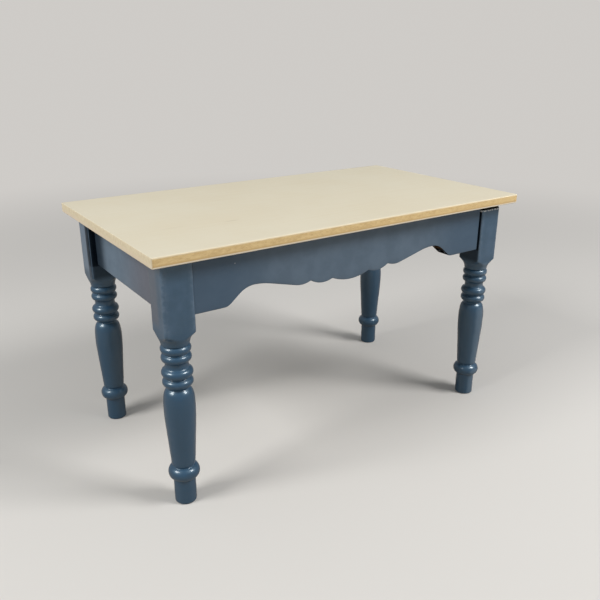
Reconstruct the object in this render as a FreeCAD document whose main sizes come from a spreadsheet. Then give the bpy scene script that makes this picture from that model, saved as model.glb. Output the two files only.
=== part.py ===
import FreeCAD, Part

import math
import os

import Sketcher

# A dolls'-house dining table at 1:12. Four legs turned from square stock carry four aprons and a plain
# top. The frame has +X along the table, +Y to its rear and +Z up, with its origin on the floor under the
# middle of the top. Every length is in millimetres.

SIZES = {
    # The whole table.
    "table_length": 110.0,
    "table_width": 61.0,
    "table_height": 63.5,
    "top_thickness": 2.4,
    "top_edge_round": 0.3,
    "top_corner_round": 0.5,
    "end_overhang": 3.0,
    "side_overhang": 3.2,
    # The square block at the head of each leg, and the hollow shoulder under it.
    "leg_stock": 7.4,
    "block_round": 0.4,
    "shoulder_top": 44.35,
    "shoulder_bottom": 41.2,
    "shoulder_hollow": 3.9,
    "neck_radius": 3.2,
    # Four beads, from the top down: level of the middle, half of the height, and outer radius.
    "first_bead_level": 40.15,
    "first_bead_half": 1.05,
    "first_bead_radius": 3.48,
    "second_bead_level": 38.0,
    "second_bead_half": 0.98,
    "second_bead_radius": 3.45,
    "third_bead_level": 34.3,
    "third_bead_half": 1.15,
    "third_bead_radius": 3.6,
    "fourth_bead_level": 31.95,
    "fourth_bead_half": 1.02,
    "fourth_bead_radius": 3.52,
    # The grooves between the beads, and the cove between the second bead and the third.
    "bead_groove_radius": 2.75,
    "cove_hollow": 2.6,
    # The long vase: a rounded shoulder, the widest point, and a taper down to the ball.
    "vase_neck_radius": 2.45,
    "vase_top": 30.4,
    "vase_crown_level": 29.37,
    "vase_crown_radius": 3.24,
    "vase_crown_round": 2.15,
    "vase_shoulder_level": 28.3,
    "vase_shoulder_radius": 3.5,
    "vase_shoulder_round": 5.08,
    "vase_belly_level": 25.7,
    "vase_belly_radius": 3.67,
    "vase_upper_round": 20.0,
    "vase_lower_level": 21.29,
    "vase_lower_radius": 3.523,
    "vase_lower_round": 66.0,
    "vase_bottom": 10.5,
    "vase_bottom_radius": 2.8,
    # The ball and the plain foot.
    "ball_top": 9.98,
    "ball_bottom": 6.47,
    "ball_groove_radius": 2.45,
    "ball_round": 1.84,
    "foot_top": 6.2,
    "foot_radius": 2.6,
    "foot_edge": 0.25,
    # The aprons and their stub tenons.
    "apron_thickness": 4.0,
    "front_recess": 0.6,
    "side_recess": 1.8,
    "tenon_thickness": 2.0,
    "tenon_length": 2.2,
    "tenon_drop": 2.5,
    "tenon_height": 7.0,
    "glue_gap": 0.05,
    "mortise_depth": 2.4,
    # The scalloped lower edge of the front and rear aprons. Its middle lies to the left of the apron's own.
    # From there outwards: the distance from that middle, the depth below the top edge, and the radius of
    # each curve.
    "scallop_shift": 1.6,
    "middle_lobe_round": 13.9,
    "inner_cusp_reach": 5.75,
    "inner_cusp_depth": 11.83,
    "small_lobe_round": 6.6,
    "outer_cusp_reach": 12.2,
    "outer_cusp_depth": 11.22,
    "side_lobe_round": 6.5,
    "slope_foot_reach": 16.509,
    "slope_foot_depth": 11.594,
    "slope_head_reach": 24.05,
    "slope_head_depth": 9.646,
    "arch_inner_round": 15.0,
    "arch_crown_reach": 27.8,
    "arch_crown_depth": 9.17,
    "arch_outer_round": 6.3,
    "ogee_head_reach": 31.835,
    "ogee_head_depth": 10.632,
    "ogee_foot_reach": 34.099,
    "ogee_foot_depth": 12.52,
    "ogee_foot_round": 2.5,
    "apron_end_reach": 35.7,
    "apron_end_depth": 13.1,
}

LEFT, RIGHT = 1, -1
FRONT, REAR = -1, 1
START, END = 1, 2
AXIS_X, AXIS_Y = -1, -2
FULL_TURN = 360
TINY = 1e-6

# Half of the scalloped edge, from its middle outwards: each corner, and the curve from there to the next
# corner, as a radius and the way that it turns from left to right along the edge. None is a straight line.
SCALLOPS = [
    ("inner_cusp", "small_lobe_round", LEFT),
    ("outer_cusp", "side_lobe_round", LEFT),
    ("slope_foot", None, None),
    ("slope_head", "arch_inner_round", RIGHT),
    ("arch_crown", "arch_outer_round", RIGHT),
    ("ogee_head", None, None),
    ("ogee_foot", "ogee_foot_round", LEFT),
    ("apron_end", None, None),
]


class Length:
    """A length, kept both as a number and as the expression of the sheet that gives it."""

    def __init__(self, value, text):
        self.value = value
        self.text = text

    def joined(self, sign, other, value):
        text = other.text if isinstance(other, Length) else str(other)
        return Length(value, f"({self.text} {sign} {text})")

    def __add__(self, other):
        return self.joined("+", other, self.value + plain(other))

    def __sub__(self, other):
        return self.joined("-", other, self.value - plain(other))

    def __mul__(self, other):
        return self.joined("*", other, self.value * plain(other))

    def __truediv__(self, other):
        return self.joined("/", other, self.value / plain(other))

    def __neg__(self):
        return Length(-self.value, f"(-{self.text})")


def plain(length):
    """The plain number of a Length, or of a number."""
    return length.value if isinstance(length, Length) else length


def size(name):
    """The driving dimension of that name."""
    return Length(SIZES[name], f"sizes.{name}")


ZERO = Length(0.0, "0")


def make_sheet(doc):
    """Put the driving dimensions in a sheet: names in column A, aliased numbers in column B."""
    sheet = doc.addObject("Spreadsheet::Sheet", "sizes")
    for row, (name, value) in enumerate(SIZES.items(), start=1):
        sheet.set(f"A{row}", name)
        sheet.set(f"B{row}", str(value))
        sheet.setAlias(f"B{row}", name)
    doc.recompute()


def dimension(sketch, kind, places, length):
    """Add one dimension to a sketch and bind it to the sheet."""
    number = sketch.addConstraint(Sketcher.Constraint(kind, *places, length.value))
    sketch.setExpression(f"Constraints[{number}]", length.text)


class Outline:
    """A closed chain of straight lines and arcs in a sketch, bound to the sheet at every corner."""

    def __init__(self, sketch, x, y):
        self.sketch = sketch
        self.corners = [(x, y)]
        self.edges = []

    def line_to(self, x, y):
        """Go straight to the next corner."""
        line = Part.LineSegment(self.last_point(), FreeCAD.Vector(x.value, y.value))
        self.edges.append((self.sketch.addGeometry(line), START, END))
        self.corners.append((x, y))

    def arc_to(self, x, y, radius, turn):
        """Go to the next corner on an arc, under half a circle, that turns LEFT or RIGHT on the way."""
        start, end = self.last_point(), FreeCAD.Vector(x.value, y.value)
        chord = end - start
        to_left = FreeCAD.Vector(-chord.y, chord.x).normalize()
        reach = math.sqrt(radius.value ** 2 - (chord.Length / 2) ** 2)
        centre = (start + end) / 2 + to_left * (turn * reach)
        first, last = (start, end) if turn == LEFT else (end, start)
        angles = [math.atan2(point.y - centre.y, point.x - centre.x) for point in (first, last)]
        circle = Part.Circle(centre, FreeCAD.Vector(0, 0, 1), radius.value)
        number = self.sketch.addGeometry(Part.ArcOfCircle(circle, *angles))
        self.edges.append((number, START, END) if turn == LEFT else (number, END, START))
        self.corners.append((x, y))
        dimension(self.sketch, "Radius", (number,), radius)

    def last_point(self):
        x, y = self.corners[-1]
        return FreeCAD.Vector(x.value, y.value)

    def close(self):
        """Go straight back to the first corner, join the edges and place every corner."""
        self.line_to(*self.corners[0])
        for before, after in zip(self.edges, self.edges[1:] + self.edges[:1]):
            joint = Sketcher.Constraint("Coincident", before[0], before[2], after[0], after[1])
            self.sketch.addConstraint(joint)
        for (number, place, _), (x, y) in zip(self.edges, self.corners):
            self.place_corner("DistanceX", AXIS_Y, number, place, x)
            self.place_corner("DistanceY", AXIS_X, number, place, y)

    def place_corner(self, kind, axis, number, place, length):
        """Set one coordinate of a corner: on the axis, or at a distance to either side of it."""
        origin, corner = (-1, 1), (number, place)
        if length.value == 0:
            self.sketch.addConstraint(Sketcher.Constraint("PointOnObject", number, place, axis))
        elif length.value > 0:
            dimension(self.sketch, kind, origin + corner, length)
        else:
            dimension(self.sketch, kind, corner + origin, -length)


def rectangle(sketch, left, right, bottom, top):
    """A rectangle between two distances across and two up."""
    outline = Outline(sketch, left, bottom)
    outline.line_to(right, bottom)
    outline.line_to(right, top)
    outline.line_to(left, top)
    outline.close()


def origin_plane(body, role):
    """One of the body's own origin planes."""
    return next(plane for plane in body.Origin.OriginFeatures if plane.Role == role)


def new_sketch(body, name, role, offset=ZERO):
    """A sketch on an origin plane of the body, moved along the plane's normal."""
    sketch = body.newObject("Sketcher::SketchObject", name)
    sketch.AttachmentSupport = (origin_plane(body, role), [""])
    sketch.MapMode = "FlatFace"
    sketch.setExpression("AttachmentOffset.Base.z", offset.text)
    return sketch


def pad(body, name, sketch, thickness, backwards=False):
    """Thicken a sketch into a solid, along the normal of its plane or backwards."""
    feature = body.newObject("PartDesign::Pad", name)
    feature.Profile = sketch
    feature.Reversed = backwards
    feature.setExpression("Length", thickness.text)
    body.Document.recompute()
    return feature


def pocket(body, name, sketch, depth, backwards=False):
    """Cut a sketch into the solid, against the normal of its plane or backwards."""
    before = body.Shape.Volume
    feature = body.newObject("PartDesign::Pocket", name)
    feature.Profile = sketch
    feature.Reversed = backwards
    feature.setExpression("Length", depth.text)
    body.Document.recompute()
    if feature.Shape.Volume >= before:
        raise RuntimeError(f"{body.Label}: {name} cuts nothing")
    return feature


def round_edges(body, name, base, radius, wanted):
    """Round the edges of a feature that the test picks."""
    feature = body.newObject("PartDesign::Fillet", name)
    names = [f"Edge{number}" for number, edge in enumerate(base.Shape.Edges, start=1) if wanted(edge)]
    feature.Base = (base, names)
    feature.setExpression("Radius", radius.text)
    body.Document.recompute()
    return feature


def is_upright(edge):
    """Whether an edge is straight and parallel to Z."""
    first, last = edge.Vertexes[0].Point, edge.Vertexes[-1].Point
    return math.hypot(last.x - first.x, last.y - first.y) < TINY < abs(last.z - first.z)


def place(body, x, y, z, turn=0):
    """Put a body in the table's frame, turned about Z by an angle in degrees."""
    body.Placement = FreeCAD.Placement(FreeCAD.Vector(), FreeCAD.Rotation(FreeCAD.Vector(0, 0, 1), turn))
    for axis, length in zip("xyz", (x, y, z)):
        body.setExpression(f"Placement.Base.{axis}", length.text)


def tabletop(doc):
    """The plain board of the top, with its edges eased."""
    body = doc.addObject("PartDesign::Body", "tabletop")
    half_length = size("table_length") / 2
    half_width = size("table_width") / 2
    sketch = new_sketch(body, "top_outline", "XY_Plane")
    rectangle(sketch, -half_length, half_length, -half_width, half_width)
    board = pad(body, "board", sketch, size("top_thickness"))
    corners = round_edges(body, "corners", board, size("top_corner_round"), is_upright)
    round_edges(body, "edges", corners, size("top_edge_round"), lambda edge: not is_upright(edge))
    place(body, ZERO, ZERO, size("table_height") - size("top_thickness"))
    return body


def bead(outline, name, lower_radius):
    """One bead of the turning, from its upper end down to the radius of the groove under it."""
    level, half = size(f"{name}_bead_level"), size(f"{name}_bead_half")
    bulge = size(f"{name}_bead_radius") - lower_radius
    round_radius = (half * half + bulge * bulge) / (bulge * 2)
    outline.arc_to(lower_radius, level - half, round_radius, RIGHT)


def turned_outline(sketch):
    """The waste that the lathe takes from the square stock, from the shoulder down to the foot."""
    groove = size("bead_groove_radius")
    waste = size("leg_stock")
    neck = size("vase_neck_radius")
    corner = size("leg_stock") / math.sqrt(2)
    outline = Outline(sketch, waste, size("shoulder_top"))
    outline.line_to(corner, size("shoulder_top"))
    outline.arc_to(size("neck_radius"), size("shoulder_bottom"), size("shoulder_hollow"), LEFT)
    outline.line_to(groove, size("first_bead_level") + size("first_bead_half"))
    bead(outline, "first", groove)
    outline.line_to(groove, size("second_bead_level") + size("second_bead_half"))
    bead(outline, "second", groove)
    cove_bottom = size("third_bead_level") + size("third_bead_half")
    outline.arc_to(groove, cove_bottom, size("cove_hollow"), LEFT)
    bead(outline, "third", groove)
    outline.line_to(groove, size("fourth_bead_level") + size("fourth_bead_half"))
    bead(outline, "fourth", groove)
    outline.line_to(neck, size("vase_top"))
    outline.arc_to(size("vase_crown_radius"), size("vase_crown_level"), size("vase_crown_round"), RIGHT)
    shoulder_round = size("vase_shoulder_round")
    outline.arc_to(size("vase_shoulder_radius"), size("vase_shoulder_level"), shoulder_round, RIGHT)
    outline.arc_to(size("vase_belly_radius"), size("vase_belly_level"), size("vase_upper_round"), RIGHT)
    outline.arc_to(size("vase_lower_radius"), size("vase_lower_level"), size("vase_lower_round"), RIGHT)
    outline.line_to(size("vase_bottom_radius"), size("vase_bottom"))
    outline.line_to(size("ball_groove_radius"), size("ball_top"))
    outline.arc_to(size("ball_groove_radius"), size("ball_bottom"), size("ball_round"), RIGHT)
    outline.line_to(size("foot_radius"), size("foot_top"))
    outline.line_to(size("foot_radius"), size("foot_edge"))
    outline.line_to(size("foot_radius") - size("foot_edge"), ZERO)
    outline.line_to(waste, ZERO)
    outline.close()


def mortise(body, name, role, face, centre, backwards):
    """A blind mortise for a stub tenon, cut in from one inner face of the leg's block."""
    gap = size("glue_gap")
    half = size("tenon_thickness") / 2 + gap
    top = size("table_height") - size("top_thickness") - size("tenon_drop") + gap
    bottom = top - size("tenon_height") - gap * 2
    sketch = new_sketch(body, f"{name}_outline", role, face)
    rectangle(sketch, centre - half, centre + half, bottom, top)
    pocket(body, name, sketch, size("mortise_depth"), backwards)


def leg(doc, name, side, end):
    """One leg, turned from square stock. Its outer corner is towards side in X and end in Y."""
    body = doc.addObject("PartDesign::Body", name)
    half = size("leg_stock") / 2
    sketch = new_sketch(body, "stock_outline", "XY_Plane")
    rectangle(sketch, -half, half, -half, half)
    stock = pad(body, "stock", sketch, size("table_height") - size("top_thickness"))
    eased = round_edges(body, "arrises", stock, size("block_round"), is_upright)

    sketch = new_sketch(body, "turned_outline", "XZ_Plane")
    turned_outline(sketch)
    turning = body.newObject("PartDesign::Groove", "turning")
    turning.Profile = sketch
    turning.ReferenceAxis = (sketch, ["V_Axis"])
    turning.Angle = FULL_TURN
    doc.recompute()
    if turning.Shape.Volume >= eased.Shape.Volume:
        raise RuntimeError(f"{name}: the turning cuts nothing")

    # The shaped apron enters the inner face across X, and the side apron the inner face across Y.
    apron_half = size("apron_thickness") / 2
    shaped_centre = (half - size("front_recess") - apron_half) * end
    side_centre = (half - size("side_recess") - apron_half) * side
    mortise(body, "shaped_apron_mortise", "YZ_Plane", -half * side, shaped_centre, side > 0)
    mortise(body, "side_apron_mortise", "XZ_Plane", half * end, side_centre, end < 0)

    to_side = size("table_length") / 2 - size("end_overhang") - half
    to_end = size("table_width") / 2 - size("side_overhang") - half
    place(body, to_side * side, to_end * end, ZERO)
    return body


def edge_to(outline, x, y, curve, turn):
    """Go to the next corner on a curve whose radius is named, or straight if it has none."""
    if curve:
        outline.arc_to(x, y, size(curve), turn)
    else:
        outline.line_to(x, y)


def scalloped_outline(sketch, half_length):
    """A shaped apron between the legs, with its top edge on the sketch's X axis."""
    middle = -size("scallop_shift")
    outline = Outline(sketch, -half_length, ZERO)
    outline.line_to(-half_length, -size("apron_end_depth"))
    for corner, curve, turn in reversed(SCALLOPS):
        edge_to(outline, middle - size(f"{corner}_reach"), -size(f"{corner}_depth"), curve, turn)
    curve, turn = "middle_lobe_round", LEFT
    for corner, next_curve, next_turn in SCALLOPS:
        edge_to(outline, middle + size(f"{corner}_reach"), -size(f"{corner}_depth"), curve, turn)
        curve, turn = next_curve, next_turn
    outline.line_to(half_length, -size("apron_end_depth"))
    outline.line_to(half_length, ZERO)
    outline.close()


def straight_outline(sketch, half_length):
    """A straight apron between the legs, with its top edge on the sketch's X axis."""
    rectangle(sketch, -half_length, half_length, -size("apron_end_depth"), ZERO)


def apron(doc, name, draw_outline, half_length):
    """An apron with a stub tenon at each end, drawn on its outer face and thickened inwards."""
    body = doc.addObject("PartDesign::Body", name)
    sketch = new_sketch(body, "outline", "XZ_Plane")
    draw_outline(sketch, half_length)
    pad(body, "board", sketch, size("apron_thickness"), backwards=True)

    cheek = (size("apron_thickness") - size("tenon_thickness")) / 2
    tip = half_length + size("tenon_length")
    sketch = new_sketch(body, "tenon_outline", "XZ_Plane", -cheek)
    rectangle(sketch, -tip, tip, -size("tenon_drop") - size("tenon_height"), -size("tenon_drop"))
    pad(body, "tenons", sketch, size("tenon_thickness"), backwards=True)
    return body


def make_aprons(doc):
    """Shaped aprons at the front and the rear, and straight ones at the two sides."""
    underside = size("table_height") - size("top_thickness")
    leg_outer_x = size("table_length") / 2 - size("end_overhang")
    leg_outer_y = size("table_width") / 2 - size("side_overhang")
    across = leg_outer_x - size("leg_stock")
    along = leg_outer_y - size("leg_stock")
    shaped_y = leg_outer_y - size("front_recess")
    side_x = leg_outer_x - size("side_recess")
    front = apron(doc, "front_apron", scalloped_outline, across)
    rear = apron(doc, "rear_apron", scalloped_outline, across)
    left = apron(doc, "left_apron", straight_outline, along)
    right = apron(doc, "right_apron", straight_outline, along)
    place(front, ZERO, -shaped_y, underside)
    place(rear, ZERO, shaped_y - size("apron_thickness"), underside)
    place(left, -side_x, ZERO, underside, turn=-90)
    place(right, side_x, ZERO, underside, turn=90)
    return [front, rear, left, right]


def check(doc, bodies):
    """Stop if any object failed, or if a piece isn't one valid solid."""
    for thing in doc.Objects:
        if {"Invalid", "Error"} & set(thing.State):
            raise RuntimeError(f"{thing.Name} failed: {thing.State}")
    for body in bodies:
        if body.Shape.isNull() or not body.Shape.isValid() or len(body.Shape.Solids) != 1:
            raise RuntimeError(f"{body.Label} isn't one valid solid")


def main():
    doc = FreeCAD.newDocument("dining_table")
    make_sheet(doc)
    pieces = [tabletop(doc)]
    pieces.append(leg(doc, "front_left_leg", -1, FRONT))
    pieces.append(leg(doc, "front_right_leg", 1, FRONT))
    pieces.append(leg(doc, "rear_left_leg", -1, REAR))
    pieces.append(leg(doc, "rear_right_leg", 1, REAR))
    pieces.extend(make_aprons(doc))
    doc.recompute()
    check(doc, pieces)
    os.makedirs("parts", exist_ok=True)
    for body in pieces:
        body.Shape.exportStep(f"parts/{body.Label}.step")


main()
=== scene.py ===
import math

import bmesh
import bpy
from mathutils import Matrix, Vector, noise

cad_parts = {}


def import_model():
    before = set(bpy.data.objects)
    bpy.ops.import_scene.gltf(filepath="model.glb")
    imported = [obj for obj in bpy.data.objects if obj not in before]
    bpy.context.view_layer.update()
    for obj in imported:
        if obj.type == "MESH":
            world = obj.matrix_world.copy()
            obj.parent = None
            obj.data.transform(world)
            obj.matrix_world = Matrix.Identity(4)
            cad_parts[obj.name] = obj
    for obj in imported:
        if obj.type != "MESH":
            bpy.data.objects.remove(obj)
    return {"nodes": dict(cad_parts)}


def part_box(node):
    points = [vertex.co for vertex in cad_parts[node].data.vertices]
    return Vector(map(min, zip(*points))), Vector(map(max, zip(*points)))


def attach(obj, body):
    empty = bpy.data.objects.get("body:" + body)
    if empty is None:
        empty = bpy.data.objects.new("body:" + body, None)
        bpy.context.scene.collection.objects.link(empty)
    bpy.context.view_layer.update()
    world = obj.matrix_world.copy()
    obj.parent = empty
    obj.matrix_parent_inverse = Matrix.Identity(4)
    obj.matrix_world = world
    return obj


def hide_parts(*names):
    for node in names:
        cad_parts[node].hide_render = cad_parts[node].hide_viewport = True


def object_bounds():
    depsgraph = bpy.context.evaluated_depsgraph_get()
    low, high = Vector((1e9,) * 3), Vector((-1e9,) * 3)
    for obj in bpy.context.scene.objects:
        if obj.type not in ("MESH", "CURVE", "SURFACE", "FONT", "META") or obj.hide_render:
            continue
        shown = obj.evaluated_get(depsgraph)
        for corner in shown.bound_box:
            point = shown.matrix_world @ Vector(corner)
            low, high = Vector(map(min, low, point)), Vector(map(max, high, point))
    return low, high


# A dolls'-house dining table: a bare wooden top on a base of turned legs and aprons in slate-blue paint.
# The sizes and places of the pieces come from the CAD nodes of the frame. Lengths are in metres, except
# inside the materials, where places and distances are in millimetres.

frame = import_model()
cad_low, cad_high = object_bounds()

MM = 0.001
BODY = "root"
ENDS = ("front", "rear")
SIDES = ("left", "right")


# ---- Lines and skins ----

SHARP_ANGLE = math.radians(50)


def resample(points, step):
    """The same line with its points no further apart than about one step."""
    spaced = [points[0]]
    for start, end in zip(points, points[1:]):
        count = max(1, round((end - start).length / step))
        for number in range(1, count + 1):
            spaced.append(start.lerp(end, number / count))
    return spaced


def soften(points, passes):
    """The same line with its corners eased, as paint eases them."""
    for _ in range(passes):
        middle = [(a + b * 2 + c) / 4 for a, b, c in zip(points, points[1:], points[2:])]
        points = [points[0]] + middle + [points[-1]]
    return points


def spread(low, high, count):
    """The ends of a number of equal parts between low and high, both of these included."""
    return [low + (high - low) * number / count for number in range(count + 1)]


def soft_min(first, second, blend):
    """The lower of two lengths, rounded off where they cross."""
    share = max(blend - abs(first - second), 0) / blend
    return min(first, second) - share * share * blend / 4


def sagitta(reach, radius):
    """How far a rounded edge falls back at a distance past the point where its round starts."""
    reach = min(max(reach, 0), radius)
    return radius - math.sqrt(radius * radius - reach * reach)


def unevenness(point, grain, depth):
    """The small rise or fall of a hand-finished surface at a point."""
    return noise.noise(point / grain) * depth


def skin(name, rings, wear):
    """A closed piece through rings of points, with a flat face at both ends. Wear is kept at each point."""
    mesh = bmesh.new()
    layer = mesh.verts.layers.float.new("wear")
    rows = []
    for ring, amounts in zip(rings, wear):
        row = [mesh.verts.new(point) for point in ring]
        for vertex, amount in zip(row, amounts):
            vertex[layer] = amount
        rows.append(row)
    for below, above in zip(rows, rows[1:]):
        for number in range(len(below)):
            after = (number + 1) % len(below)
            mesh.faces.new((below[number], below[after], above[after], above[number]))
    mesh.faces.new(list(reversed(rows[0])))
    mesh.faces.new(rows[-1])
    bmesh.ops.recalc_face_normals(mesh, faces=mesh.faces)
    data = bpy.data.meshes.new(name)
    mesh.to_mesh(data)
    mesh.free()
    data.shade_smooth()
    data.set_sharp_from_angle(angle=SHARP_ANGLE)
    piece = bpy.data.objects.new(name, data)
    bpy.context.scene.collection.objects.link(piece)
    return piece


def settle(piece, node, material):
    """Give a finished piece its material and its body, and hide the CAD node that it stands for."""
    piece.data.materials.append(material)
    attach(piece, BODY)
    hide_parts(node)


# ---- Legs ----

TURNING_STEP = 0.13 * MM
BLOCK_STEP = 0.5 * MM
BLOCK_ARRIS = 0.7 * MM
BLOCK_TOP_ROUND = 0.8 * MM
WORN_LEG = "front_right_leg"
WORN_LEG_GAP = 1.1 * MM
SHOULDER_BLEND = 0.3 * MM
LEG_UNEVEN_GRAIN = 1.6 * MM
LEG_UNEVEN_DEPTH = 0.03 * MM
SOFTENING_PASSES = 2
FLAT_PARTS = 18
CORNER_PARTS = 7
TOP_ROUND_PARTS = 7
ARRIS_NARROWNESS = 24


def turned_profile():
    """The turned part of a leg, from the floor up, as points of level and radius read from the CAD leg."""
    node = "front_left_leg"
    low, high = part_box(node)
    centre = (low + high) / 2
    above_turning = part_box("front_apron")[0].z
    places = set()
    for vertex in frame["nodes"][node].data.vertices:
        if vertex.co.z < above_turning:
            radius = math.hypot(vertex.co.x - centre.x, vertex.co.y - centre.y)
            places.add((round(vertex.co.z, 6), round(radius, 6)))
    points = [Vector(place) for place in sorted(places)]
    return soften(resample(points, TURNING_STEP), SOFTENING_PASSES)


def square_reach(angle, half):
    """The distance from the middle of the eased square stock to its outside, in one direction."""
    turn = angle % (math.pi / 2)
    turn = min(turn, math.pi / 2 - turn)
    inner = half - BLOCK_ARRIS
    if half * math.tan(turn) <= inner:
        return half / math.cos(turn)
    along = inner * (math.cos(turn) + math.sin(turn))
    return along + math.sqrt(along * along - 2 * inner * inner + BLOCK_ARRIS ** 2)


def leg_angles(half):
    """Directions round the leg, closer together at the four arrises of the block."""
    edge = math.atan2(half - BLOCK_ARRIS, half)
    angles = []
    for quarter in range(4):
        start = quarter * math.pi / 2
        angles += [start + turn for turn in spread(-edge, edge, FLAT_PARTS)[:-1]]
        angles += [start + turn for turn in spread(edge, math.pi / 2 - edge, CORNER_PARTS)[:-1]]
    return angles


def leg_stations(profile, free, head):
    """The levels up a leg, each with the radius of its turning. The block's radius is free of any limit."""
    shoulder = profile[-1].x
    round_start = head - BLOCK_TOP_ROUND
    stations = [(point.x, point.y) for point in profile]
    count = round((round_start - shoulder) / BLOCK_STEP)
    stations += [(level, free) for level in spread(shoulder, round_start, count)[1:]]
    for turn in spread(0, math.pi / 2, TOP_ROUND_PARTS)[1:-1]:
        stations.append((round_start + BLOCK_TOP_ROUND * math.sin(turn), free))
    stations.append((head, free))
    return stations


def leg_ring(middle, half, radius, past_round):
    """The points round a leg about the middle of one level, with the wear at each."""
    inset = sagitta(past_round, BLOCK_TOP_ROUND)
    ring = []
    amounts = []
    for angle in leg_angles(half):
        block = square_reach(angle, half)
        reach = soft_min(block, radius, SHOULDER_BLEND) - inset
        across = Vector((math.cos(angle), math.sin(angle), 0))
        point = middle + across * reach
        ring.append(point + across * unevenness(point, LEG_UNEVEN_GRAIN, LEG_UNEVEN_DEPTH))
        arris = abs(math.sin(2 * angle)) ** ARRIS_NARROWNESS * (radius >= block)
        amounts.append(max(arris, min(past_round / BLOCK_TOP_ROUND, 1), 0))
    return ring, amounts


def leg(node, profile, material):
    """A leg: square block at the head, then the turning, with the arrises softened by paint. The head of
    the worn leg stops a little way under the top."""
    low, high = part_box(node)
    centre = (low + high) / 2
    half = (high.x - low.x) / 2
    head = high.z - WORN_LEG_GAP * (node == WORN_LEG)
    rings = []
    wear = []
    for level, radius in leg_stations(profile, half * 2, head):
        middle = Vector((centre.x, centre.y, level))
        ring, amounts = leg_ring(middle, half, radius, level - (head - BLOCK_TOP_ROUND))
        rings.append(ring)
        wear.append(amounts)
    piece = skin(f"turned_{node}", rings, wear)
    settle(piece, node, material)


# ---- Boards ----

SHAPED_STEP = 0.2 * MM
STRAIGHT_STEP = 0.4 * MM
APRON_ARRIS = 0.3 * MM
APRON_PARTS = (12, 4)
OPEN_JOINT = 0.4 * MM
ARRIS_PARTS = 4
BOARD_UNEVEN_GRAIN = 2.2 * MM
BOARD_UNEVEN_DEPTH = 0.02 * MM
TOUCH = 0.001 * MM


def section(front, rear, bottom, top, corner, parts):
    """A rectangle across a board with eased corners, as points of distance across and height, with the wear
    at each. The two counts of parts are for its upright sides and its level sides."""
    corner = min(corner, (rear - front) / 2, (top - bottom) / 2)
    middles = ((rear - corner, bottom + corner), (rear - corner, top - corner),
               (front + corner, top - corner), (front + corner, bottom + corner))
    points = []
    amounts = []
    for number, (across, up) in enumerate(middles):
        start = (number - 1) * math.pi / 2
        for turn in spread(start, start + math.pi / 2, ARRIS_PARTS):
            points.append(Vector((across + corner * math.cos(turn), up + corner * math.sin(turn))))
            amounts.append(math.sin(2 * (turn - start)))
        following = middles[(number + 1) % 4]
        finish = start + math.pi / 2
        last = points[-1]
        target = Vector((following[0] + corner * math.cos(finish), following[1] + corner * math.sin(finish)))
        for share in spread(0, 1, parts[number % 2])[1:-1]:
            points.append(last.lerp(target, share))
            amounts.append(0)
    return points, amounts


def board(name, sections, turn):
    """A board lofted through sections along its length, then turned about Z to face its own way."""
    spin = Matrix.Rotation(turn, 3, "Z")
    rings = []
    wear = []
    for along, (points, amounts) in sections:
        ring = []
        for point in points:
            place = spin @ Vector((along, point.x, point.y))
            uneven = unevenness(place, BOARD_UNEVEN_GRAIN, BOARD_UNEVEN_DEPTH)
            ring.append(place + spin @ Vector((0, uneven, 0)))
        rings.append(ring)
        wear.append(amounts)
    return skin(name, rings, wear)


def lower_edge(node, reach):
    """The lower edge of an apron between the legs, as points of length and height read from its CAD node."""
    lowest = {}
    for vertex in frame["nodes"][node].data.vertices:
        along = round(vertex.co.x, 6)
        if abs(along) <= reach + TOUCH:
            lowest[along] = min(vertex.co.z, lowest.get(along, cad_high.z))
    points = [Vector((along, lowest[along])) for along in sorted(lowest)]
    return soften(resample(points, SHAPED_STEP), SOFTENING_PASSES)


def shaped_apron(end, material):
    """A long apron with a scalloped lower edge. An open joint shows at its right end."""
    node = f"{end}_apron"
    low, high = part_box(node)
    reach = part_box("front_right_leg")[0].x
    sections = []
    for point in lower_edge(node, reach):
        if point.x < reach - OPEN_JOINT:
            outline = section(low.y, high.y, point.y, high.z, APRON_ARRIS, APRON_PARTS)
            sections.append((point.x, outline))
    piece = board(f"shaped_{node}", sections, 0)
    settle(piece, node, material)


def straight_apron(side, material):
    """A short apron between two legs at one end of the table."""
    node = f"{side}_apron"
    low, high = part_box(node)
    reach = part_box("rear_left_leg")[0].y
    outer, inner = (-high.x, -low.x) if side == "right" else (low.x, high.x)
    turn = math.pi / 2 if side == "right" else -math.pi / 2
    outline = section(outer, inner, low.z, high.z, APRON_ARRIS, APRON_PARTS)
    stations = spread(-reach, reach, round(2 * reach / STRAIGHT_STEP))
    piece = board(f"straight_{node}", [(along, outline) for along in stations], turn)
    settle(piece, node, material)


TOP_ARRIS = 0.2 * MM
TOP_CORNER = 0.5 * MM
TOP_PARTS = (4, 60)
TOP_CORNER_PARTS = 8
TOP_LENGTH_PARTS = 110


def tabletop(material):
    """The plain board of the top, with eased edges and corners."""
    node = "tabletop"
    low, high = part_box(node)
    turns = spread(0, math.pi / 2, TOP_CORNER_PARTS)
    ends = [high.x - TOP_CORNER * (1 - math.sin(turn)) for turn in turns]
    inner = spread(-ends[0], ends[0], TOP_LENGTH_PARTS)
    stations = [-along for along in reversed(ends)] + inner[1:-1] + ends
    sections = []
    for along in stations:
        corner = sagitta(abs(along) - (high.x - TOP_CORNER), TOP_CORNER)
        arris = sagitta(abs(along) - (high.x - TOP_ARRIS), TOP_ARRIS)
        front, rear = low.y + corner, high.y - corner
        outline = section(front, rear, low.z + arris, high.z - arris, TOP_ARRIS, TOP_PARTS)
        sections.append((along, outline))
    piece = board("bare_top", sections, 0)
    settle(piece, node, material)


# ---- Materials ----


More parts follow.
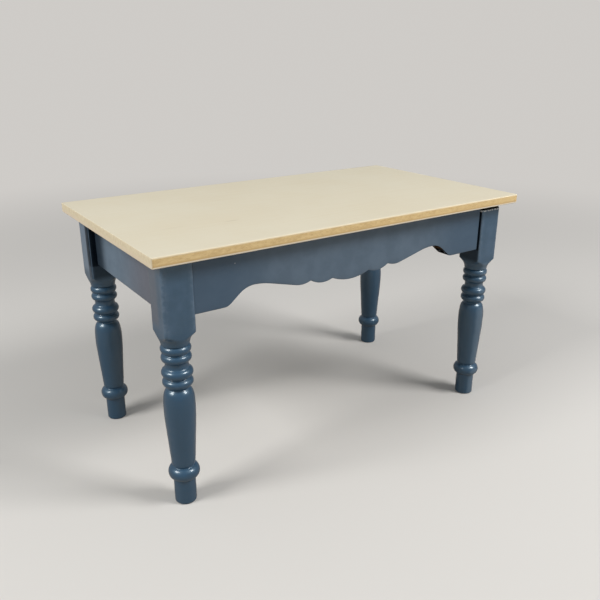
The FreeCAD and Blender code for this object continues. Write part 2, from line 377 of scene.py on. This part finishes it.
class Graph:
    """The nodes of one material. Each method adds a node and gives back its output."""

    def __init__(self, name):
        self.material = bpy.data.materials.new(name)
        self.material.use_nodes = True
        self.tree = self.material.node_tree
        self.tree.nodes.clear()

    def add(self, kind, inputs, **settings):
        made = self.tree.nodes.new(kind)
        for key, value in settings.items():
            setattr(made, key, value)
        for key, value in inputs.items():
            if isinstance(value, bpy.types.NodeSocket):
                self.tree.links.new(value, made.inputs[key])
            else:
                made.inputs[key].default_value = value
        return made

    def place(self, x=1, y=1, z=1):
        """The place on the object in millimetres, with each direction stretched."""
        coords = self.add("ShaderNodeTexCoord", {}).outputs["Object"]
        scale = (x / MM, y / MM, z / MM)
        return self.add("ShaderNodeMapping", {"Vector": coords, "Scale": scale}).outputs["Vector"]

    def noise(self, vector, scale, detail=3, rough=0.5, warp=0):
        inputs = {"Vector": vector, "Scale": scale, "Detail": detail, "Roughness": rough, "Distortion": warp}
        return self.add("ShaderNodeTexNoise", inputs).outputs["Fac"]

    def split(self, vector):
        return self.add("ShaderNodeSeparateXYZ", {"Vector": vector}).outputs

    def maths(self, operation, first, second=0):
        return self.add("ShaderNodeMath", {0: first, 1: second}, operation=operation).outputs[0]

    def ramp(self, value, low, high, start=0, finish=1):
        """The value carried smoothly from one range to another, and held at its ends."""
        inputs = {"Value": value, "From Min": low, "From Max": high, "To Min": start, "To Max": finish}
        return self.add("ShaderNodeMapRange", inputs, interpolation_type="SMOOTHSTEP").outputs["Result"]

    def mix(self, share, first, second):
        """A colour between two, by a share."""
        first = first if isinstance(first, bpy.types.NodeSocket) else (*first, 1)
        second = second if isinstance(second, bpy.types.NodeSocket) else (*second, 1)
        return self.add("ShaderNodeMix", {0: share, 6: first, 7: second}, data_type="RGBA").outputs[2]

    def wear(self):
        return self.add("ShaderNodeAttribute", {}, attribute_name="wear").outputs["Fac"]

    def bump(self, height, distance, below=None):
        inputs = {"Height": height, "Distance": distance, "Strength": 1}
        if below:
            inputs["Normal"] = below
        return self.add("ShaderNodeBump", inputs).outputs["Normal"]

    def finish(self, colour, roughness, normal, **more):
        inputs = {"Base Color": colour, "Roughness": roughness, "Normal": normal}
        inputs.update({key.replace("_", " "): value for key, value in more.items()})
        shader = self.add("ShaderNodeBsdfPrincipled", inputs)
        self.add("ShaderNodeOutputMaterial", {"Surface": shader.outputs[0]})
        return self.material


SLATE = (0.036, 0.087, 0.152)
SLATE_LIGHT = (0.052, 0.109, 0.187)
# The apron shades are lighter, greyer copies of the leg paint: painted sheen, as the table is one paint.
SHEENED_APRON_SLATE = (0.084, 0.135, 0.195)
SHEENED_APRON_LIGHT = (0.104, 0.160, 0.225)
SHEENED_END_SLATE = (0.105, 0.169, 0.244)
SHEENED_END_LIGHT = (0.130, 0.200, 0.281)
END_SHEEN_GREY = (0.122, 0.130, 0.170)
# The deeper blue of the turnings; the blocks' lighter paint beside it is painted sheen.
DEEP_BLUE = (0.016, 0.064, 0.128)
WORN_PAINT = (0.14, 0.20, 0.28)
# Painted sheen on the left faces of the blocks and down the worn leg's turning.
WARM_SHEEN = (0.086, 0.110, 0.158)
COOL_SHEEN = (0.132, 0.200, 0.290)
PALE_SHEEN = (0.13, 0.20, 0.28)
# Painted shade beside the aprons and towards the rear legs.
SHADED_PAINT = (0.004, 0.007, 0.012)
BARE_BROWN = (0.075, 0.045, 0.026)
# Near-black: painted shadow on the worn leg's head, and bare wood in painted shade on the apron's cut.
SHADOW_AND_BARE_BLACK = (0.003, 0.003, 0.003)
CHIPPED = (0.70, 0.72, 0.74)
MATT_COLOURS = (SHADED_PAINT, BARE_BROWN, SHADOW_AND_BARE_BLACK)

SATIN = {"roughness": (0.50, 0.56), "specular": 0.75, "tint": (1, 1, 1), "coat": 0.4, "coat_rough": 0.20}
GLOSS = {"roughness": (0.40, 0.46), "specular": 0.95, "tint": (0.7, 0.9, 1), "coat": 0.8, "coat_rough": 0.13}
STREAK_SHARE = 0.2
PAINT_LUMPS = 0.02 * MM
BRUSH_MARKS = 0.004 * MM


def paint(name, stretch, finish, shades, patches):
    """Brushed paint under a smooth coat, with lighter arrises. The brush marks run the way that is
    stretched least, and the finish is satin or gloss. Each patch gives a share and the colour that it
    brings, and a patch in a matt colour doesn't shine."""
    graph = Graph(name)
    place = graph.place()
    cloud = graph.noise(place, 0.22, 3, 0.55)
    brush = graph.noise(graph.place(*stretch), 1, 3, 0.5, 0.3)
    colour = graph.mix(graph.ramp(cloud, 0.35, 0.68), *shades)
    streak = graph.maths("MULTIPLY", graph.ramp(brush, 0.5, 0.75), STREAK_SHARE)
    colour = graph.mix(streak, colour, shades[1])
    flaking = graph.ramp(graph.noise(place, 0.9, 3), 0.35, 0.7, 0.2, 0.7)
    colour = graph.mix(graph.maths("MULTIPLY", graph.wear(), flaking), colour, WORN_PAINT)
    shine = 1
    for patch in patches:
        share, other = patch(graph)
        colour = graph.mix(share, colour, other)
        if other in MATT_COLOURS:
            shine = graph.maths("MULTIPLY", shine, graph.maths("SUBTRACT", 1, share))
    roughness = graph.ramp(graph.noise(place, 0.6, 2), 0.3, 0.7, *finish["roughness"])
    normal = graph.bump(graph.noise(place, 0.45, 1), PAINT_LUMPS)
    normal = graph.bump(brush, BRUSH_MARKS, normal)
    specular = graph.maths("MULTIPLY", shine, finish["specular"])
    coat = graph.maths("MULTIPLY", shine, finish["coat"])
    return graph.finish(colour, roughness, normal, Specular_IOR_Level=specular,
                        Specular_Tint=(*finish["tint"], 1), Coat_Weight=coat,
                        Coat_Roughness=finish["coat_rough"])


def product(graph, *shares):
    """The product of several shares."""
    whole = shares[0]
    for share in shares[1:]:
        whole = graph.maths("MULTIPLY", whole, share)
    return whole


def facing(graph):
    """The direction that the surface faces, along each axis."""
    return graph.split(graph.add("ShaderNodeTexCoord", {}).outputs["Normal"])


# How far the band of painted shade on the outer face of the rear left leg reaches behind its front arris.
REAR_ARRIS_SHADE = 2.8


def turning_top():
    """The level of the underside of the aprons, in millimetres. The turned part of a leg is below it."""
    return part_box("front_apron")[0].z / MM


def deep_turning(graph):
    """The turned part of a leg is painted a deeper blue than its block. They are one paint: the block's
    lighter colour is painted sheen.
    """
    level = graph.split(graph.place())["Z"]
    return graph.ramp(level, turning_top() - 6, turning_top() - 2, 0.9, 0), DEEP_BLUE


def past_arrises(graph, axes):
    """A share that rises behind the front arris of each left leg."""
    front_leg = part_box("front_left_leg")[0].y / MM
    rear_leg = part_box("rear_left_leg")[0].y / MM
    past_front = graph.ramp(axes["Y"], front_leg + 2.0, front_leg + 4.0)
    at_front = graph.maths("LESS_THAN", axes["Y"], 0)
    past_rear = graph.ramp(axes["Y"], rear_leg + 1.2, rear_leg + REAR_ARRIS_SHADE)
    return graph.maths("MAXIMUM", graph.maths("MULTIPLY", past_front, at_front), past_rear)


def left_sheen(graph):
    """The faces of the blocks at the left end are lighter with painted sheen, but not next to their front
    arrises.
    """
    axes = graph.split(graph.place())
    block = graph.ramp(axes["Z"], turning_top() - 3, turning_top() - 1)
    left = graph.ramp(facing(graph)["X"], -0.95, -0.75, 1, 0)
    colour = graph.mix(graph.ramp(axes["Y"], -10, 10), WARM_SHEEN, COOL_SHEEN)
    return product(graph, block, left, past_arrises(graph, axes)), colour


def shaded_inside(graph):
    """The faces of the blocks that the aprons meet are dark with painted shade, and most of all beside the
    aprons. So is the front of the rear left leg's outer face."""
    axes = graph.split(graph.place())
    normal = facing(graph)
    arris_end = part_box("rear_left_leg")[0].y / MM + REAR_ARRIS_SHADE
    dark = product(graph, graph.ramp(normal["X"], -0.9, -0.6, 1, 0),
                   graph.ramp(axes["Y"], arris_end - 1.0, arris_end, 0.9, 0),
                   graph.maths("GREATER_THAN", axes["Y"], 0))
    for axis in "XY":
        outwards = graph.maths("MULTIPLY", graph.maths("SIGN", axes[axis]), normal[axis])
        dark = graph.maths("MAXIMUM", dark, graph.ramp(outwards, -0.9, -0.6, 1, 0))
    beside_apron = graph.ramp(axes["Z"], turning_top() - 0.6, turning_top(), 0.7, 0.95)
    block = graph.ramp(axes["Z"], turning_top() - 5, turning_top() - 3)
    return product(graph, dark, beside_apron, block), SHADED_PAINT


def near_worn_leg(graph, axes):
    """One on the worn leg, and nothing on the others."""
    low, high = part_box(WORN_LEG)
    to_right = graph.maths("GREATER_THAN", axes["X"], (low.x - MM) / MM)
    to_front = graph.maths("LESS_THAN", axes["Y"], (high.y + MM) / MM)
    return graph.maths("MULTIPLY", to_right, to_front)


def front_sheen(graph):
    """A painted sheen: a lighter band down the front of the worn leg's turning."""
    axes = graph.split(graph.place())
    turned = graph.ramp(axes["Z"], turning_top() - 5, turning_top() - 4, 1, 0)
    band = graph.ramp(facing(graph)["Y"], -0.99, -0.84, 0.5, 0)
    return product(graph, turned, band, near_worn_leg(graph, axes)), PALE_SHEEN


def worn_arris():
    """The level where the head of the worn leg starts to round over, in millimetres."""
    return (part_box(WORN_LEG)[1].z - WORN_LEG_GAP - BLOCK_TOP_ROUND) / MM


def shadowed_head(graph):
    """The rounded head of the worn leg, painted near-black above its arris as shadow."""
    axes = graph.split(graph.place())
    ragged = graph.maths("MULTIPLY", graph.noise(graph.place(1.2, 1.2, 1.2), 1, 2), 0.5)
    height = graph.maths("ADD", axes["Z"], ragged)
    above = graph.ramp(height, worn_arris() + 0.35, worn_arris() + 0.55)
    return product(graph, above, near_worn_leg(graph, axes)), SHADOW_AND_BARE_BLACK


def chipped_arris(graph):
    """Flecks of bare ground along the worn top arris of that leg."""
    axes = graph.split(graph.place())
    above = graph.ramp(axes["Z"], worn_arris() - 0.25, worn_arris() - 0.1)
    below = graph.ramp(axes["Z"], worn_arris() + 0.15, worn_arris() + 0.35, 1, 0)
    flecks = graph.ramp(graph.noise(graph.place(1.9, 1.9, 0.8), 1, 2), 0.42, 0.50)
    return product(graph, above, below, near_worn_leg(graph, axes), flecks), CHIPPED


# The bare cut is placed from the right legs, and the speck from the left legs and the top of the apron.
CUT_START = 17.6
CUT_BROWN = 14.8
CUT_FINISH = 11.6
CUT_FADE = 0.5
SPECK_ALONG = 10.2
SPECK_DOWN = 3.2
SPECK_SPREAD = 0.03


def before_right_leg(distance):
    """A place along the table, so far to the left of the right legs, in millimetres."""
    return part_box("front_right_leg")[0].x / MM - distance


def bare_cut(graph):
    """Where the paint missed the cut underside of the front apron, on the ogee at its right end."""
    axes = graph.split(graph.place())
    start, finish = before_right_leg(CUT_START), before_right_leg(CUT_FINISH)
    under = graph.ramp(facing(graph)["Z"], -0.55, -0.35, 1, 0)
    after = graph.ramp(axes["X"], start - CUT_FADE, start + CUT_FADE)
    before = graph.ramp(axes["X"], finish - CUT_FADE, finish + CUT_FADE, 1, 0)
    at_front = graph.maths("LESS_THAN", axes["Y"], 0)
    ragged = graph.ramp(graph.noise(graph.place(), 0.9, 3, 0.6), 0.30, 0.42)
    return product(graph, after, before, under, at_front, ragged)


def bare_patch(graph):
    """The dark ground on that cut: bare wood, painted near-black as in shade."""
    return bare_cut(graph), SHADOW_AND_BARE_BLACK


def brown_patch(graph):
    """The brown wood in the middle of that cut."""
    along = graph.split(graph.place())["X"]
    middle = graph.maths("ABSOLUTE", graph.maths("SUBTRACT", along, before_right_leg(CUT_BROWN)))
    uneven = graph.maths("MULTIPLY", graph.noise(graph.place(), 0.8, 3), 2)
    inside = graph.ramp(graph.maths("ADD", middle, uneven), 1.5, 2.2, 1, 0)
    return product(graph, inside, bare_cut(graph)), BARE_BROWN


def pale_speck(graph):
    """One pale speck near the upper left corner of the front apron."""
    axes = graph.split(graph.place())
    left_leg_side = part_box("front_left_leg")[1].x / MM
    apron_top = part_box("front_apron")[1].z / MM
    across = graph.maths("POWER", graph.maths("SUBTRACT", axes["X"], left_leg_side + SPECK_ALONG), 2)
    up = graph.maths("POWER", graph.maths("SUBTRACT", axes["Z"], apron_top - SPECK_DOWN), 2)
    inside = graph.ramp(graph.maths("ADD", across, up), 0.0, SPECK_SPREAD, 0.6, 0)
    return product(graph, inside, graph.maths("LESS_THAN", axes["Y"], 0)), CHIPPED


def shaded_ends(graph):
    """The long aprons are darker towards the legs, with painted shade."""
    leg_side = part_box("front_right_leg")[0].x / MM
    distance = graph.maths("ABSOLUTE", graph.split(graph.place())["X"])
    return graph.ramp(distance, leg_side - 24.6, leg_side - 6.6, 0, 0.75), SLATE


def warm_sheen_front(graph):
    """The short aprons are greyer towards the front legs, with a painted warm sheen."""
    leg_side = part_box("front_left_leg")[1].y / MM
    across = graph.split(graph.place())["Y"]
    return graph.ramp(across, leg_side + 3.9, leg_side + 25.9, 0.9, 0), END_SHEEN_GREY


def shaded_rear(graph):
    """The short aprons darken towards the rear legs, with painted shade."""
    leg_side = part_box("rear_left_leg")[0].y / MM
    across = graph.split(graph.place())["Y"]
    return graph.ramp(across, leg_side - 8.9, leg_side - 2.9, 0, 0.82), SHADED_PAINT


PALE_WOOD = (0.733, 0.676, 0.530)
WARM_WOOD = (0.719, 0.653, 0.499)
GRAIN_TAN = (0.70, 0.60, 0.42)
EDGE_TAN = (0.88, 0.655, 0.325)
EDGE_BROWN = (0.70, 0.48, 0.22)
# A painted highlight along the top arris of the edges, also used on the lighter worn arrises.
EDGE_HIGHLIGHT = (0.90, 0.79, 0.58)
EDGE_PEACH = (0.93, 0.82, 0.65)
END_TAN = (0.82, 0.715, 0.505)
END_DARK = (0.74, 0.62, 0.425)
END_PEACH = (0.82, 0.69, 0.52)
GRAIN_MARK = (0.50, 0.43, 0.28)


DARK_MARK = {"middle_x": -27.1, "middle_y": -12.5, "half_length": 2.6, "half_width": 0.42, "strength": 0.42}
FAINT_MARK = {"middle_x": -41.8, "middle_y": -10.9, "half_length": 4.0, "half_width": 0.35, "strength": 0.18}
GRAIN_RELIEF = 0.006 * MM
FIBRE_RELIEF = 0.003 * MM


def bare_wood():
    """Sanded wood: pale on the face, tan along the edges and a cooler tan on the end grain."""
    graph = Graph("bare_wood")
    normal = facing(graph)
    along = graph.noise(graph.place(0.05, 1.3, 1.3), 1, 5, 0.6, 0.8)
    sideways = graph.ramp(graph.maths("ABSOLUTE", normal["Y"]), 0.45, 0.8)
    endways = graph.ramp(graph.maths("ABSOLUTE", normal["X"]), 0.45, 0.8)
    colour = graph.mix(sideways, wood_face(graph, along), wood_edge(graph))
    colour = graph.mix(endways, colour, wood_end(graph))
    # The arrises are lighter: partly wear, partly painted highlight.
    worn = graph.maths("MULTIPLY", graph.wear(), 0.25)
    colour = graph.mix(worn, colour, EDGE_HIGHLIGHT)
    roughness = graph.ramp(along, 0.3, 0.7, 0.48, 0.60)
    relief = graph.bump(along, GRAIN_RELIEF)
    relief = graph.bump(graph.noise(graph.place(0.5, 6, 6), 1, 3), FIBRE_RELIEF, relief)
    return graph.finish(colour, roughness, relief, Specular_IOR_Level=0.35)


def wood_face(graph, along):
    """The face of the top: pale and cloudy, with faint lines of grain and two short marks."""
    cloud = graph.noise(graph.place(), 0.05, 4, 0.6)
    colour = graph.mix(graph.ramp(cloud, 0.3, 0.7), PALE_WOOD, WARM_WOOD)
    colour = graph.mix(graph.ramp(along, 0.5, 0.8, 0, 0.22), colour, GRAIN_TAN)
    marks = graph.maths("MAXIMUM", grain_mark(graph, **DARK_MARK), grain_mark(graph, **FAINT_MARK))
    return graph.mix(marks, colour, GRAIN_MARK)


def wood_edge(graph):
    """The long edges of the top: mottled tan, with a pale line at the bottom and a painted highlight along
    the top.
    """
    low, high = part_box("tabletop")
    bottom, top = low.z / MM, high.z / MM
    level = graph.split(graph.place())["Z"]
    mottle = graph.noise(graph.place(0.9, 0.9, 2.0), 1, 5, 0.7)
    edge = graph.mix(graph.ramp(mottle, 0.32, 0.74), EDGE_TAN, EDGE_BROWN)
    edge = graph.mix(graph.ramp(level, bottom + 0.55, bottom + 0.95, 0.9, 0), edge, EDGE_BROWN)
    edge = graph.mix(graph.ramp(level, bottom + 0.32, bottom + 0.45, 1, 0), edge, EDGE_PEACH)
    return graph.mix(graph.ramp(level, top - 0.42, top - 0.2, 0, 0.8), edge, EDGE_HIGHLIGHT)


def wood_end(graph):
    """The end grain of the top, paler along its lower part."""
    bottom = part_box("tabletop")[0].z / MM
    level = graph.split(graph.place())["Z"]
    hatch = graph.noise(graph.place(0.8, 1.2, 0.9), 1, 4, 0.6)
    end = graph.mix(graph.ramp(hatch, 0.35, 0.7), END_TAN, END_DARK)
    return graph.mix(graph.ramp(level, bottom + 0.7, bottom + 1.1, 0.8, 0), end, END_PEACH)


def grain_mark(graph, middle_x, middle_y, half_length, half_width, strength):
    """One short dark mark of the grain, at a distance in millimetres from the middle of the top."""
    axes = graph.split(graph.place())
    across = graph.maths("DIVIDE", graph.maths("SUBTRACT", axes["Y"], middle_y), half_width)
    along = graph.maths("DIVIDE", graph.maths("SUBTRACT", axes["X"], middle_x), half_length)
    square = graph.maths("ADD", graph.maths("POWER", across, 2), graph.maths("POWER", along, 2))
    return graph.ramp(square, 0, 1, strength, 0)


# ---- Stage ----

FLOOR_COLOUR = (0.70, 0.68, 0.65)
FLOOR_BOUNCE = (0.36, 0.33, 0.29)
BACKDROP = (0.62, 0.60, 0.575)
# The plain backdrop takes over between these distances, in millimetres.
NEAR_FLOOR = 130
FAR_FLOOR = 420
FLAT_RADII = (0.3, 0.6)
CURVE_RADIUS = 0.8
CURVE_TURN = 1.2
CURVE_PARTS = 16
FLOOR_PARTS = 72


def floor():
    """A plain pale floor that curves up far away, seen only from above."""
    mesh = bmesh.new()
    rings = [(radius, 0.0) for radius in FLAT_RADII]
    for turn in spread(0, CURVE_TURN, CURVE_PARTS)[1:]:
        rings.append((FLAT_RADII[-1] + CURVE_RADIUS * math.sin(turn), CURVE_RADIUS * (1 - math.cos(turn))))
    centre = mesh.verts.new((0, 0, cad_low.z))
    rows = []
    for radius, rise in rings:
        row = []
        for number in range(FLOOR_PARTS):
            angle = 2 * math.pi * number / FLOOR_PARTS
            row.append(mesh.verts.new((radius * math.cos(angle), radius * math.sin(angle), cad_low.z + rise)))
        rows.append(row)
    for number in range(FLOOR_PARTS):
        mesh.faces.new((centre, rows[0][number], rows[0][(number + 1) % FLOOR_PARTS]))
    for inner, outer in zip(rows, rows[1:]):
        for number in range(FLOOR_PARTS):
            after = (number + 1) % FLOOR_PARTS
            mesh.faces.new((inner[number], outer[number], outer[after], inner[after]))
    data = bpy.data.meshes.new("floor")
    mesh.to_mesh(data)
    mesh.free()
    data.shade_smooth()
    made = bpy.data.objects.new("floor", data)
    bpy.context.scene.collection.objects.link(made)
    made.data.materials.append(floor_material())


def floor_material():
    """Matt and pale, fading into a plain backdrop, and clear from below. It lights the table as a wooden
    floor would, and its far part doesn't light the table at all."""
    graph = Graph("floor")
    seen = graph.add("ShaderNodeLightPath", {}).outputs["Is Camera Ray"]
    near = graph.add("ShaderNodeBsdfDiffuse", {"Color": graph.mix(seen, FLOOR_BOUNCE, FLOOR_COLOUR)})
    backdrop = graph.add("ShaderNodeEmission", {"Color": (*BACKDROP, 1)})
    clear = graph.add("ShaderNodeBsdfTransparent", {})
    distance = graph.add("ShaderNodeVectorMath", {0: graph.place()}, operation="LENGTH").outputs["Value"]
    far = graph.add("ShaderNodeMixShader", {0: seen, 1: clear.outputs[0], 2: backdrop.outputs[0]})
    share = graph.ramp(distance, NEAR_FLOOR, FAR_FLOOR)
    above = graph.add("ShaderNodeMixShader", {0: share, 1: near.outputs[0], 2: far.outputs[0]})
    behind = graph.add("ShaderNodeNewGeometry", {}).outputs["Backfacing"]
    both = graph.add("ShaderNodeMixShader", {0: behind, 1: above.outputs[0], 2: clear.outputs[0]})
    graph.add("ShaderNodeOutputMaterial", {"Surface": both.outputs[0]})
    return graph.material


def lamp(name, azimuth, elevation, distance, width, watts, colour):
    """A soft square light, aimed at the table from a direction round it."""
    turn, rise = math.radians(azimuth), math.radians(elevation)
    towards = Vector((math.sin(turn) * math.cos(rise), -math.cos(turn) * math.cos(rise), math.sin(rise)))
    centre = (cad_low + cad_high) / 2
    data = bpy.data.lights.new(name, "AREA")
    data.shape = "SQUARE"
    data.size = width
    data.energy = watts
    data.color = colour
    light = bpy.data.objects.new(name, data)
    light.location = centre + towards * distance
    light.rotation_mode = "QUATERNION"
    light.rotation_quaternion = towards.to_track_quat("Z", "Y")
    bpy.context.scene.collection.objects.link(light)


WORLD_COLOUR = (0.94, 0.97, 1.0)
WORLD_STRENGTH = 0.30


def world():
    """Even, slightly cool light from all round."""
    made = bpy.data.worlds.new("studio")
    made.use_nodes = True
    back = made.node_tree.nodes["Background"]
    back.inputs["Color"].default_value = (*WORLD_COLOUR, 1)
    back.inputs["Strength"].default_value = WORLD_STRENGTH
    bpy.context.scene.world = made


CAMERA_AZIMUTH = math.radians(-34.5)
CAMERA_ELEVATION = math.radians(20.71)
CAMERA_ROLL = math.radians(0.11)
CAMERA_DISTANCE = 191.02 * MM
CAMERA_LENS = 39.80
CAMERA_SENSOR = 36
AIM_HEIGHT = 0.6
AIM_RIGHT = 1.019 * MM
AIM_DOWN = 4.164 * MM


def camera():
    """A camera to the front left of the table, looking down on it."""
    azimuth, elevation, roll = CAMERA_AZIMUTH, CAMERA_ELEVATION, CAMERA_ROLL
    back = Vector((math.sin(azimuth) * math.cos(elevation), -math.cos(azimuth) * math.cos(elevation),
                   math.sin(elevation)))
    level = Vector((math.cos(azimuth), math.sin(azimuth), 0))
    rise = back.cross(level)
    right = level * math.cos(roll) + rise * math.sin(roll)
    up = rise * math.cos(roll) - level * math.sin(roll)
    height = cad_high.z - cad_low.z
    aim = Vector((0, 0, cad_low.z + AIM_HEIGHT * height)) + level * AIM_RIGHT - rise * AIM_DOWN
    data = bpy.data.cameras.new("camera")
    data.sensor_width = CAMERA_SENSOR
    data.lens = CAMERA_LENS
    data.clip_start = 0.01
    made = bpy.data.objects.new("camera", data)
    axes = Matrix((right, up, back)).transposed().to_4x4()
    made.matrix_world = Matrix.Translation(aim + back * CAMERA_DISTANCE) @ axes
    bpy.context.scene.collection.objects.link(made)
    bpy.context.scene.camera = made


# ---- The table ----

# One paint in three materials: the apron shades and several patches are painted sheen and painted shade.
leg_paint = paint("leg_paint", (1.6, 1.6, 0.25), GLOSS, (SLATE, SLATE_LIGHT),
                  (deep_turning, left_sheen, front_sheen, shaded_inside, shadowed_head, chipped_arris))
long_apron_paint = paint("long_apron_paint", (0.2, 1.6, 1.6), SATIN, (SHEENED_APRON_SLATE, SHEENED_APRON_LIGHT),
                         (shaded_ends, bare_patch, brown_patch, pale_speck))
short_apron_paint = paint("short_apron_paint", (1.6, 0.2, 1.6), SATIN, (SHEENED_END_SLATE, SHEENED_END_LIGHT),
                          (warm_sheen_front, shaded_rear))

tabletop(bare_wood())
turning = turned_profile()
for end in ENDS:
    shaped_apron(end, long_apron_paint)
    for side in SIDES:
        leg(f"{end}_{side}_leg", turning, leg_paint)
for side in SIDES:
    straight_apron(side, short_apron_paint)

floor()
lamp("left_window", -90, 38, 0.50, 0.175, 1.32, (1.0, 0.99, 0.97))
lamp("right_window", 38, 42, 0.45, 0.157, 1.28, (1.0, 0.99, 0.98))
world()
camera()
bpy.context.scene.view_settings.view_transform = "Standard"
